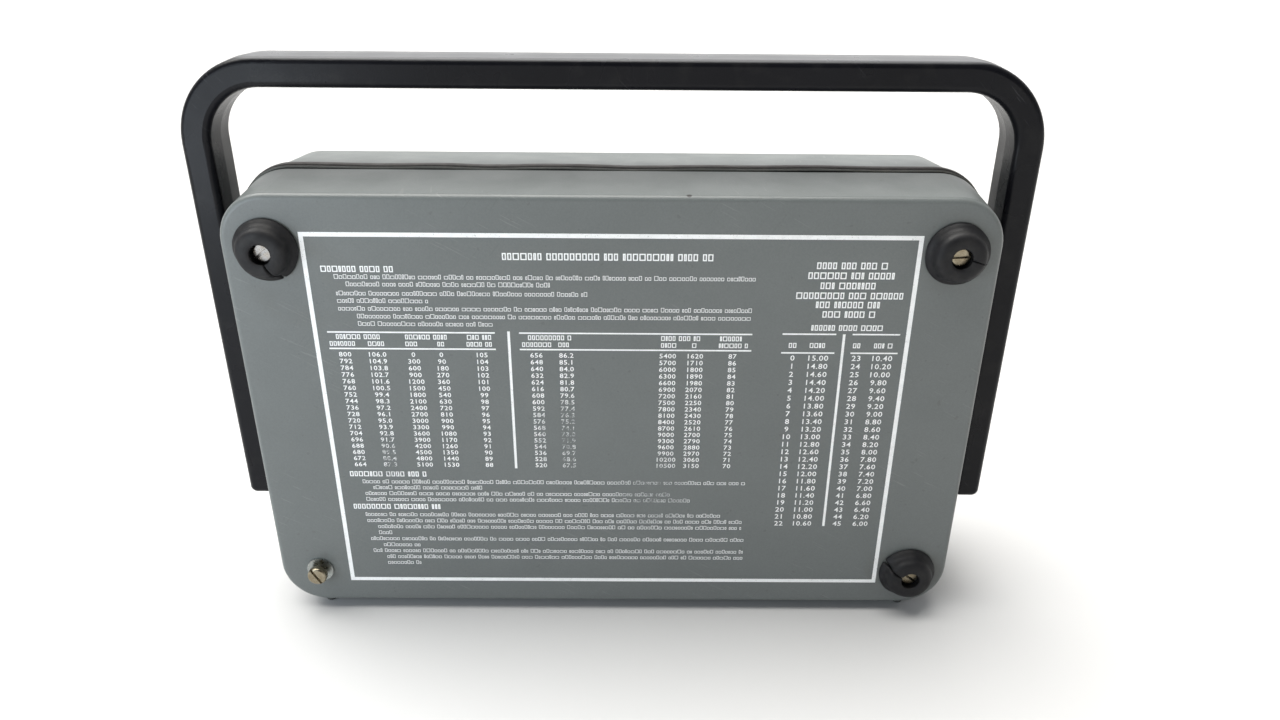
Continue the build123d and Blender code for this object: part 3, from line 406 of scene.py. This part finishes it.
class Print:
    """Ink lying on a face: rectangles, numbers, ticks and rows of blank type, gathered in one mesh."""

    glyphs = {}
    BLOCK_WIDTHS = (0.38, 0.55, 0.62, 0.62, 0.7, 0.86)      # of the type's height, as are the next three
    BLOCK_GAP, WORD_GAP = 0.17, 0.48
    LOW_BLOCK = 0.74
    NUMERAL_SPREAD = 1.12                                   # numerals are this much wider than the font's

    def __init__(self, on_face, lift):
        self.on_face, self.lift = on_face, lift
        self.corners, self.faces = [], []

    def polygon(self, points):
        start = len(self.corners)
        self.corners += [self.on_face(u, v, self.lift) for u, v in points]
        self.faces.append(tuple(range(start, len(self.corners))))

    def bar(self, left, low, right, high):
        self.polygon([(left, low), (right, low), (right, high), (left, high)])

    def stroke(self, start, end, width):
        along = Vector(end) - Vector(start)
        side = Vector((-along.y, along.x)).normalized() * width / 2
        a, b = Vector(start), Vector(end)
        self.polygon([a - side, b - side, b + side, a + side])

    def box_outline(self, left, low, right, high, line):
        self.bar(left, low, right, low + line)
        self.bar(left, high - line, right, high)
        self.bar(left, low + line, left + line, high - line)
        self.bar(right - line, low + line, right, high - line)

    def blank_type(self, left, right, middle, height, rng, bold=False):
        """A line of word-long runs of hollow blocks, as tall as type and as wide, that spell nothing."""
        line = height * (0.17 if bold else 0.11)
        gap = height * self.BLOCK_GAP
        base = middle - height / 2
        at, left_in_word = left, rng.randint(3, 9)
        while at < right - height * 0.4:
            if left_in_word == 0:
                at += height * self.WORD_GAP
                left_in_word = rng.randint(2, 9)
                continue
            wide = height * rng.choice(self.BLOCK_WIDTHS)
            top = base + height * (1.0 if bold or rng.random() < 0.3 else self.LOW_BLOCK)
            self.box_outline(at, base, at + wide, top, line)
            at += wide + gap
            left_in_word -= 1

    @classmethod
    def glyph(cls, letter):
        """A numeral of the built-in font as flat points and faces."""
        if letter not in cls.glyphs:
            curve = bpy.data.curves.new("numeral", "FONT")
            curve.body, curve.resolution_u, curve.offset = letter, 2, 0.012
            holder = bpy.data.objects.new("numeral", curve)
            bpy.context.collection.objects.link(holder)
            evaluated = holder.evaluated_get(bpy.context.evaluated_depsgraph_get())
            mesh = bpy.data.meshes.new_from_object(evaluated)
            cls.glyphs[letter] = ([vertex.co.xy for vertex in mesh.vertices],
                                  [tuple(face.vertices) for face in mesh.polygons])
            bpy.data.objects.remove(holder)
            bpy.data.meshes.remove(mesh)
            bpy.data.curves.remove(curve)
        return cls.glyphs[letter]

    def number(self, text, center, middle, height):
        """Numerals centred on a point; the built-in font's own zero sets the scale."""
        spread = self.NUMERAL_SPREAD
        zero_points, _ = self.glyph("0")
        tall = max(p.y for p in zero_points)
        wide = max(p.x for p in zero_points) - min(p.x for p in zero_points)
        scale = height / tall
        steps = [0.45 if letter in ".-" else 1.0 for letter in text]
        advance = wide * scale * spread * 1.17
        at = center - advance * sum(steps) / 2
        for letter, step in zip(text, steps):
            points, faces = self.glyph(letter)
            middle_x = (max(p.x for p in points) + min(p.x for p in points)) / 2
            start = len(self.corners)
            for point in points:
                u = at + advance * step / 2 + (point.x - middle_x) * scale * spread
                self.corners.append(self.on_face(u, middle - height / 2 + point.y * scale, self.lift))
            self.faces += [tuple(start + i for i in face) for face in faces]
            at += advance * step

    def dial(self, center, radius, length, width, angles):
        """Ticks round a point, at angles in degrees clockwise from the top."""
        for angle in angles:
            out = Vector((math.sin(math.radians(angle)), math.cos(math.radians(angle))))
            self.stroke(Vector(center) + out * radius, Vector(center) + out * (radius + length), width)

    def piece(self, name, material, body="case", slot=None):
        return new_piece(name, self.corners, self.faces, material, body)


# ================================================================ the printed instructions on the rear face
INK_LIFT = 0.06
FRAME_W, FRAME_H, FRAME_LINE = 275.1, 189.6, 2.05
FRAME_U, FRAME_V = -0.3, -1.9
BODY_TYPE = 2.15
BOLD_TYPE = 2.9
TABLE_TOP, TABLE_RULE, TABLE_FIRST = 45.2, 36.9, 34.0
TABLE_ROWS, TABLE_PITCH = 18, 3.51
SIDE_TOP, SIDE_RULE, SIDE_FIRST = 45.5, 36.0, 33.4
SIDE_ROWS, SIDE_PITCH = 23, 4.22
RULE = 0.75
BAR_LINE = 1.25
TABLE_NUMERAL, SIDE_NUMERAL = 2.35, 2.7
# lines of body type as (left, right, middle), above and below the tables
LINES_ABOVE = ((-124.7, 64.8, 72.3), (-119.8, -27.5, 68.8), (-124.7, -10.4, 64.4), (-124.7, -82.6, 60.8),
               (-124.7, 63.5, 57.0), (-116.6, 63.0, 53.2), (-116.6, -54.8, 49.5))
LINES_BELOW = ((-124.6, 66.3, -35.6), (-119.7, -64.5, -39.0), (-124.0, 28.5, -42.5), (-124.0, 37.9, -46.0))
LINES_LAST = ((-125.4, 53.9, -55.1), (-125.0, 65.0, -58.8), (-119.9, 65.5, -62.5), (-119.9, -112.3, -66.2),
              (-124.4, 67.6, -69.9), (-118.3, -99.6, -73.7), (-123.9, 66.6, -77.4), (-117.3, 67.6, -81.2),
              (-117.3, -100.1, -84.9))
# the centred heading of the block on the right, as (half width, middle)
SIDE_MIDDLE = 107.2
SIDE_HEADING = ((16.0, 78.8), (19.5, 74.1), (13.6, 69.3), (24.2, 64.5), (14.9, 60.1), (11.5, 55.4))


def print_instructions():
    """The frame, blocks of blank type and tables of made-up numbers on the rear face."""
    rng = random.Random(58)
    ink = Print(on_rear, INK_LIFT)
    ink.box_outline(FRAME_U - FRAME_W / 2, FRAME_V - FRAME_H / 2,
                    FRAME_U + FRAME_W / 2, FRAME_V + FRAME_H / 2, FRAME_LINE)
    ink.blank_type(-49.0, 46.4, 82.2, 3.3, rng, bold=True)

    # section 1, above the tables
    ink.blank_type(-130.2, -96.6, 75.9, BOLD_TYPE, rng, bold=True)
    for left, right, middle in LINES_ABOVE:
        ink.blank_type(left, right, middle, BODY_TYPE, rng)

    # two tables side by side, five columns each, with made-up even steps for numbers
    for left, right, columns, start in ((-131.4, -54.3, (-124.5, -109.7, -92.8, -79.8, -61.1), 0),
                                        (-43.2, 64.3, (-35.6, -21.7, 25.5, 38.1, 55.7), TABLE_ROWS)):
        ink.bar(left, TABLE_TOP - RULE / 2, right, TABLE_TOP + RULE / 2)
        ink.bar(left, TABLE_RULE - RULE / 2, right, TABLE_RULE + RULE / 2)
        pressure, kilopascal, feet, metres, value = columns
        for middle, half in (((pressure + kilopascal) / 2, 10.5), ((feet + metres) / 2, 9.5), (value, 6.2)):
            ink.blank_type(middle - half, middle + half, 42.9, 2.4, rng, bold=True)
        for middle, half in ((pressure, 6.4), (kilopascal, 3.6), (feet, 3.2), (metres, 1.4), (value, 6.6)):
            ink.blank_type(middle - half, middle + half, 39.4, 2.3, rng, bold=True)
        for row in range(TABLE_ROWS):
            step = start + row
            middle = TABLE_FIRST - row * TABLE_PITCH
            ink.number(str(800 - 8 * step), pressure, middle, TABLE_NUMERAL)
            ink.number(f"{106.0 - 1.1 * step:.1f}", kilopascal, middle, TABLE_NUMERAL)
            ink.number(str(300 * step), feet, middle, TABLE_NUMERAL)
            ink.number(str(90 * step), metres, middle, TABLE_NUMERAL)
            ink.number(str(105 - step), value, middle, TABLE_NUMERAL)
    ink.bar(-48.0 - BAR_LINE / 2, -27.6, -48.0 + BAR_LINE / 2, 46.0)

    # sections 2 and 3, below the tables
    ink.blank_type(-130.4, -92.4, -31.2, BOLD_TYPE, rng, bold=True)
    for left, right, middle in LINES_BELOW:
        ink.blank_type(left, right, middle, BODY_TYPE, rng)
    ink.blank_type(-130.9, -87.1, -50.4, BOLD_TYPE, rng, bold=True)
    for left, right, middle in LINES_LAST:
        ink.blank_type(left, right, middle, BODY_TYPE, rng)

    # the block on the right: a centred heading of six lines, and a long table in two halves
    for half, middle in SIDE_HEADING:
        ink.blank_type(SIDE_MIDDLE - half, SIDE_MIDDLE + half, middle, 3.2, rng, bold=True)
    ink.blank_type(91.2, 123.3, 48.7, 2.8, rng, bold=True)
    for left, right, degrees, amount, start in ((78.2, 103.0, 83.7, 95.4, 0),
                                                (110.5, 132.5, 113.5, 125.3, SIDE_ROWS)):
        ink.bar(left, SIDE_TOP - RULE / 2, right, SIDE_TOP + RULE / 2)
        ink.bar(left, SIDE_RULE - RULE / 2, right, SIDE_RULE + RULE / 2)
        ink.blank_type(degrees - 2.2, degrees + 2.0, 39.8, 2.5, rng, bold=True)
        ink.blank_type(amount - 4.2, amount + 4.0, 39.8, 2.5, rng, bold=True)
        for row in range(SIDE_ROWS):
            step = start + row
            middle = SIDE_FIRST - row * SIDE_PITCH
            ink.number(str(step), degrees, middle, SIDE_NUMERAL)
            ink.number(f"{15.0 - 0.2 * step:.2f}", amount, middle, SIDE_NUMERAL)
    ink.bar(106.7 - BAR_LINE / 2, -61.0, 106.7 + BAR_LINE / 2, 45.6)
    ink.piece("rear_print", white_ink("rear_print_ink", RUBBED))


# ================================================================ seam gasket
SEAM_W, SEAM_H, SEAM_R = 351.2, 224.5, 24.5
HUB_V, HUB_CLEAR = -50.75, 11.1
# the rubber's section as (depth in front of the rear face, distance outside the seam outline): from the rear
# shell's rim, a lip, a groove and the broad band up to the front shell's rim
GASKET_SECTION = ((35.1, -3.4), (35.6, -3.2), (36.3, -2.6), (36.4, 0.2), (36.6, 0.85), (37.0, 1.0),
                  (37.35, 0.75), (37.5, 0.0), (37.6, -2.8), (38.8, -2.8), (38.9, -0.2), (39.1, 0.7),
                  (39.6, 1.25), (40.6, 1.5), (41.8, 1.5), (43.0, 1.35), (43.9, 0.95), (44.3, 0.1),
                  (44.4, -0.9), (44.4, -3.4))
GROOVE_FACES = (0, 1, 2, 7, 8, 9)       # parts of the section in the crevices, given a near-black material as painted shade
# parts of the section on the lip, given a paler material as a painted highlight
LIP_FACES = (3, 4, 5, 6)
GASKET_STEP = 2.2
PINCH_AT, PINCH_WIDTH = -62, 16         # along the top edge, where the rubber is squeezed in
LOOSE_AT, LOOSE_WIDTH = -150, 22        # and where it has come loose


def seam_point(travel):
    """Place and outward direction on the seam outline, at a distance from the bottom's middle.

    The travel goes to the right first, as seen from behind.
    """
    half_w, half_h, r = SEAM_W / 2 - SEAM_R, SEAM_H / 2 - SEAM_R, SEAM_R
    arc = r * math.pi / 2
    turns = ((Vector((0, -half_h - r)), Vector((1, 0)), half_w), (Vector((half_w, -half_h)), -90, arc),
             (Vector((half_w + r, -half_h)), Vector((0, 1)), 2 * half_h), (Vector((half_w, half_h)), 0, arc),
             (Vector((half_w, half_h + r)), Vector((-1, 0)), 2 * half_w),
             (Vector((-half_w, half_h)), 90, arc),
             (Vector((-half_w - r, half_h)), Vector((0, -1)), 2 * half_h),
             (Vector((-half_w, -half_h)), 180, arc),
             (Vector((-half_w, -half_h - r)), Vector((1, 0)), half_w))
    for start, heading, length in turns:
        if travel <= length or heading is turns[-1][1]:
            break
        travel -= length
    if isinstance(heading, Vector):
        return start + heading * travel, Vector((heading.y, -heading.x))
    angle = math.radians(heading) + travel / r
    outward = Vector((math.cos(angle), math.sin(angle)))
    return start + outward * r, outward


def build_gasket(band, groove, lip):
    """Two lengths of soft channel, from hub to hub, that wander a little in and out and along the depth."""
    corner = SEAM_R * math.pi / 2
    side_start = SEAM_W / 2 - SEAM_R + corner
    hub_at = side_start + (HUB_V + SEAM_H / 2 - SEAM_R)
    total = 2 * (SEAM_W - 2 * SEAM_R) + 2 * (SEAM_H - 2 * SEAM_R) + 4 * corner
    corners, faces = [], []
    for first, last in ((hub_at + HUB_CLEAR, total - hub_at - HUB_CLEAR),
                        (total - hub_at + HUB_CLEAR, total + hub_at - HUB_CLEAR)):
        steps = round((last - first) / GASKET_STEP)
        for step in range(steps + 1):
            travel = (first + (last - first) * step / steps) % total
            place, outward = seam_point(travel)
            swell = 0.22 * math.sin(travel / 23) + 0.14 * math.sin(travel / 9.1 + 1.3)
            drift = 0.30 * math.sin(travel / 31 + 0.6) + 0.16 * math.sin(travel / 12.7)
            pinch = math.exp(-((place.x - PINCH_AT) / PINCH_WIDTH) ** 2) if place.y > 0 else 0.0
            loose = math.exp(-((place.x - LOOSE_AT) / LOOSE_WIDTH) ** 2) if place.y > 0 else 0.0
            for depth, out in GASKET_SECTION:
                free = max(0.0, min(1.0, (out + 1.1) / 1.6))
                depth_now = depth + free * (drift + 0.5 * loose - 0.35 * pinch)
                out_now = out + free * (swell - 0.5 * pinch + 0.35 * loose - 0.15)
                at = place + outward * out_now
                corners.append(on_rear(at.x, at.y, -depth_now))
        ring = len(GASKET_SECTION)
        base = len(corners) - ring * (steps + 1)
        for step in range(steps):
            a, b = base + step * ring, base + (step + 1) * ring
            faces += [(a + i, a + (i + 1) % ring, b + (i + 1) % ring, b + i) for i in range(ring)]
        faces += [tuple(base + i for i in reversed(range(ring))),
                  tuple(base + steps * ring + i for i in range(ring))]
    gasket = new_piece("seam_rubber", corners, faces, band, "case", smooth=True)
    # the crevice faces take a near-black painted shade
    gasket.data.materials.append(groove)
    # the lip faces take a paler grey as a painted highlight
    gasket.data.materials.append(lip)
    for face in gasket.data.polygons:
        part = min(corner % ring for corner in face.vertices)
        if len(face.vertices) == 4 and part in GROOVE_FACES:
            face.material_index = 1
        elif len(face.vertices) == 4 and part in LIP_FACES:
            face.material_index = 2
    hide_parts("seam_gasket")


# ================================================================ rear feet
# half section of a foot as (radius, height): up the inside of the hole, over the top and down the outside
FOOT_SECTION = ((2.7, 1.05), (2.7, 1.75), (5.25, 1.75), (5.2, 7.0), (4.65, 7.8), (4.55, 8.3), (5.0, 8.62),
                (6.2, 8.78), (8.0, 8.75), (9.4, 8.5), (10.5, 7.9), (11.2, 7.0), (11.6, 5.8), (11.85, 4.6),
                (12.25, 3.5), (13.1, 2.6), (14.0, 1.9), (14.45, 1.1), (14.4, 0.4), (14.1, 0.05), (7.1, 0.05),
                (7.0, 1.05))
# each foot: place, direction of its split, split width at the hole and at the rim, bend of the split
FEET = (((-SCREW_U, SCREW_V_TOP), -80, 0.55, 2.1, 18), ((SCREW_U, SCREW_V_TOP), -6, 0.6, 0.35, -10),
        ((SCREW_U, SCREW_V_BOTTOM), 156, 0.4, 1.9, -6))
FOOT_STEPS = 88


def build_feet(material):
    """Three soft rubber feet, each cut through on one side and a little out of round."""
    corners, faces = [], []
    hole, rim = FOOT_SECTION[0][0], max(r for r, _ in FOOT_SECTION)
    for number, ((u, v), split, gap_in, gap_out, bend) in enumerate(FEET):
        base, ring = len(corners), len(FOOT_SECTION)
        for step in range(FOOT_STEPS + 1):
            for radius, height in FOOT_SECTION:
                way = (radius - hole) / (rim - hole)
                half_gap = (gap_in + (gap_out - gap_in) * way) / 2 / radius
                angle = (math.radians(split + bend * way) + half_gap
                         + step / FOOT_STEPS * (math.tau - 2 * half_gap))
                wobble = 1 + way * (0.012 * math.sin(3 * angle + 2.1 * number)
                                    + 0.008 * math.sin(5 * angle + number))
                sag = 0.12 * math.sin(2 * angle + number) * (1 if height > 6 else 0)
                reach = min(radius * wobble, rim)
                corners.append(on_rear(u + reach * math.cos(angle), v + reach * math.sin(angle),
                                       height - abs(sag)))
        for step in range(FOOT_STEPS):
            a, b = base + step * ring, base + (step + 1) * ring
            faces += [(a + i, b + i, b + (i + 1) % ring, a + (i + 1) % ring) for i in range(ring)]
        faces += [tuple(base + i for i in range(ring)),
                  tuple(base + FOOT_STEPS * ring + i for i in reversed(range(ring)))]
    feet = new_piece("rear_foot_rubbers", corners, faces, material, "case", smooth=True)
    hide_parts("rear_feet")


# ================================================================ control panel
DISPLAY = (-66.0, 52.0)
FUNCTION, ZERO, CALIB, SALINITY = (88.0, 38.0), (-122.0, -38.0), (-66.0, -38.0), (-8.0, -38.0)
STIRRER, PROBE_SOCKET, STIRRER_SOCKET = (48.0, -38.0), (92.0, -38.0), (132.0, -38.0)
PRINT_U, PRINT_V, PRINT_LINE = 148.0, 84.5, 0.9
FUNCTIONS, FUNCTION_STEP = 6, 30        # positions of the function switch, and degrees between them
RING_R, RING_LINE, RING_STEPS = 15.5, 0.7, 48
DIGIT_LINES = {"8": "abcdefg", "4": "bcfg", "2": "abdeg"}
DIGIT_H, DIGIT_W, DIGIT_LINE, DIGIT_PITCH = 22.0, 12.0, 2.3, 19


def build_display():
    """A dark liquid-crystal reading, drawn in bars on the glass, behind the window."""
    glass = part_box("display_glass")[0][1]

    def on_glass(u, v, proud=0.0):
        return Vector((u * MM, glass - proud * MM, CASE_MID_Z + v * MM))

    reading = Print(on_glass, 0.05)
    half_h, wide = DIGIT_H / 2, DIGIT_W
    ends = {"a": ((0, half_h), (wide, half_h)), "g": ((0, 0), (wide, 0)),
            "d": ((0, -half_h), (wide, -half_h)), "f": ((0, 0), (0, half_h)),
            "b": ((wide, 0), (wide, half_h)), "e": ((0, -half_h), (0, 0)),
            "c": ((wide, -half_h), (wide, 0))}
    for place, digit in enumerate("842"):
        corner = Vector((DISPLAY[0] - 26 + place * DIGIT_PITCH, DISPLAY[1]))
        for name in DIGIT_LINES[digit]:
            start, end = (Vector(p) for p in ends[name])
            inset = (end - start).normalized() * DIGIT_LINE * 0.35
            reading.stroke(corner + start + inset, corner + end - inset, DIGIT_LINE)
    reading.bar(DISPLAY[0] + 7.9, DISPLAY[1] - half_h - 1.2, DISPLAY[0] + 10.3, DISPLAY[1] - half_h + 1.2)
    dark = moulding("reading_dark", (0.02, 0.024, 0.022), 0.35, 0.0, 0.02)
    reading.piece("display_reading", dark)


def print_panel():
    """Lines, scales and blank captions on the control panel."""
    rng = random.Random(7)
    ink = Print(on_panel, INK_LIFT)
    ink.box_outline(-PRINT_U, -PRINT_V, PRINT_U, PRINT_V, PRINT_LINE)
    ink.bar(-PRINT_U, 2.6, PRINT_U, 2.6 + PRINT_LINE)
    ink.dial(FUNCTION, 24.5, 4.0, 0.9, [FUNCTION_STEP * i for i in range(FUNCTIONS)])
    for i in range(FUNCTIONS):
        turn = math.radians(FUNCTION_STEP * i)
        u, v = FUNCTION[0] + 35 * math.sin(turn), FUNCTION[1] + 33 * math.cos(turn)
        ink.blank_type(u - 5.5, u + 5.5, v, 2.5, rng, bold=True)
    for spot in (ZERO, CALIB):
        ink.dial(spot, 16.5, 3.0, 0.7, range(-150, 151, 30))
    ink.dial(SALINITY, 19.0, 2.2, 0.6, range(-135, 136, 27))
    for i, angle in enumerate(range(-135, 136, 54)):
        turn = math.radians(angle)
        ink.number(str(8 * i), SALINITY[0] + 24.6 * math.sin(turn), SALINITY[1] + 24.0 * math.cos(turn), 2.6)
    for (u, v), half in ((ZERO, 9), (CALIB, 10), (SALINITY, 13), (STIRRER, 11), (PROBE_SOCKET, 9),
                         (STIRRER_SOCKET, 10)):
        ink.blank_type(u - half, u + half, v - 32.0, 3.0, rng, bold=True)
    ink.blank_type(STIRRER[0] - 4, STIRRER[0] + 4, STIRRER[1] + 13, 2.4, rng, bold=True)
    ink.blank_type(STIRRER[0] - 4, STIRRER[0] + 4, STIRRER[1] - 14, 2.4, rng, bold=True)
    for spot in (PROBE_SOCKET, STIRRER_SOCKET):
        turns = [math.tau * i / RING_STEPS for i in range(RING_STEPS + 1)]
        ring = [(spot[0] + RING_R * math.cos(turn), spot[1] + RING_R * math.sin(turn)) for turn in turns]
        for start, end in zip(ring, ring[1:]):
            ink.stroke(start, end, RING_LINE)
    ink.blank_type(DISPLAY[0] - 24, DISPLAY[0] + 24, 12.0, 3.2, rng, bold=True)
    ink.piece("panel_print", white_ink("panel_print_ink", ()), slot="panel_paint")


# ================================================================ making it
dress_nodes()
place_camera()
build_stage()
print_instructions()
build_gasket(rubber("seam_band_rubber", (0.066, 0.060, 0.059), 0.25, 0.5),
             # near-black painted shade for the seam's crevices
             rubber("seam_groove_painted_shade", (0.004, 0.004, 0.004), 0.03, 0.8),
             # paler grey for the lip, a painted highlight
             rubber("seam_lip_painted_highlight", (0.12, 0.125, 0.115), 0.4, 0.5))
build_feet(rubber("rear_foot_rubber", (0.007, 0.007, 0.0085), 0.06, 0.58))
build_display()
print_panel()
